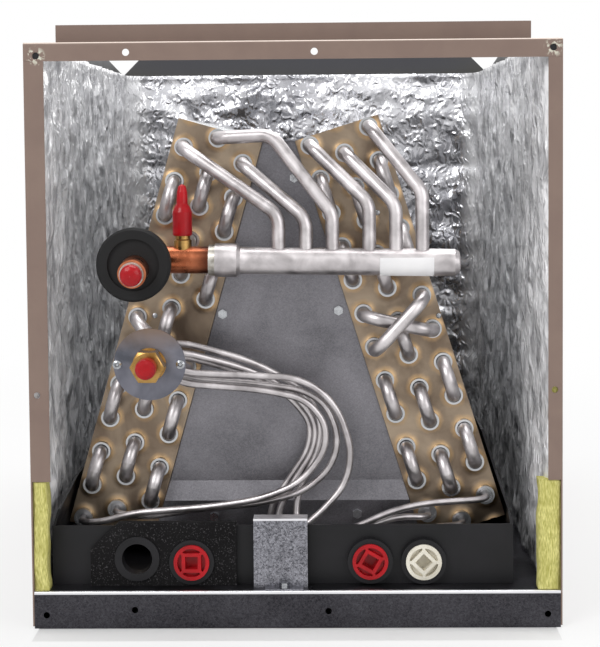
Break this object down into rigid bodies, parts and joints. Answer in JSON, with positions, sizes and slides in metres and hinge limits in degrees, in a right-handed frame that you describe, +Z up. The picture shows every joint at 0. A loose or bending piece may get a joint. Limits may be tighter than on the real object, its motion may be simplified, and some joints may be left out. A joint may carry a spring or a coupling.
{
  "type": "a-coil evaporator",
  "caption": "Cased A-coil evaporator with its front panel off: two leaning finned slabs over a black drain pan in a foil-lined sheet-metal casing",
  "frame": {"origin": "middle of the underside: halfway across the width, halfway between the rear wall and the tip of the capped suction stub", "axes": "+X to the right seen from the open front, +Y from the open front to the rear wall, +Z up"},
  "size_m": [0.3604, 0.568, 0.4139],
  "materials": {
    "painted_case": "satin taupe paint",
    "galvanised": "mottled galvanised sheet",
    "foil_blanket": "crinkled foil over glass wool",
    "black_plastic": "moulded, matt",
    "black_foam": "closed-cell foam",
    "black_rubber": "moulded rubber",
    "red_plastic": "gloss",
    "white_plastic": "off-white",
    "zinc_screw": "zinc plated",
    "fin_aluminium": "stacked fins",
    "coated_sheet": "tan coated galvanised sheet",
    "tube_aluminium": "bright drawn tube",
    "braze_metal": "brazed joint",
    "copper": "heat-stained copper",
    "brass": "machined",
    "plain_steel": "plain sheet",
    "white_label": "blank sticker"
  },
  "bodies": {
    "root": {"apex_strip": "galvanised", "base_deck": "galvanised", "bracket_screw": "zinc_screw", "casing_wrapper": "painted_case", "copper_suction_tube": "copper", "delta_plate_screws": "zinc_screw", "disc_screws": "zinc_screw", "distributor_tube_1": "tube_aluminium", "distributor_tube_2": "tube_aluminium", "distributor_tube_3": "tube_aluminium", "distributor_tube_4": "tube_aluminium", "distributor_tube_5": "tube_aluminium", "distributor_tube_6": "tube_aluminium", "drain_gasket": "black_foam", "drain_pan": "black_plastic", "drain_plug_red_left": "red_plastic", "drain_plug_red_right": "red_plastic", "drain_plug_white": "white_plastic", "feeder_tube_1": "tube_aluminium", "feeder_tube_2": "tube_aluminium", "feeder_tube_3": "tube_aluminium", "feeder_tube_4": "tube_aluminium", "feeder_tube_5": "tube_aluminium", "feeder_tube_6": "tube_aluminium", "front_delta_plate": "galvanised", "front_top_rail": "painted_case", "header_label": "white_label", "insulation_blanket": "foil_blanket", "left_crossovers": "tube_aluminium", "left_fin_pack": "fin_aluminium", "left_front_tube_sheet": "coated_sheet", "left_rear_tube_sheet": "coated_sheet", "left_return_bends": "tube_aluminium", "liquid_distributor": "brass", "liquid_line_cap": "red_plastic", "liquid_line_disc": "plain_steel", "liquid_line_nut": "brass", "pan_bracket": "galvanised", "rear_delta_plate": "galvanised", "right_crossovers": "tube_aluminium", "right_fin_pack": "fin_aluminium", "right_front_tube_sheet": "coated_sheet", "right_rear_tube_sheet": "coated_sheet", "right_return_bends": "tube_aluminium", "schrader_cap": "red_plastic", "schrader_valve": "brass", "suction_cap": "red_plastic", "suction_grommet": "black_rubber", "suction_header": "tube_aluminium", "suction_stub_ring": "braze_metal", "transition_ring": "braze_metal"}
  },
  "joints": []
}
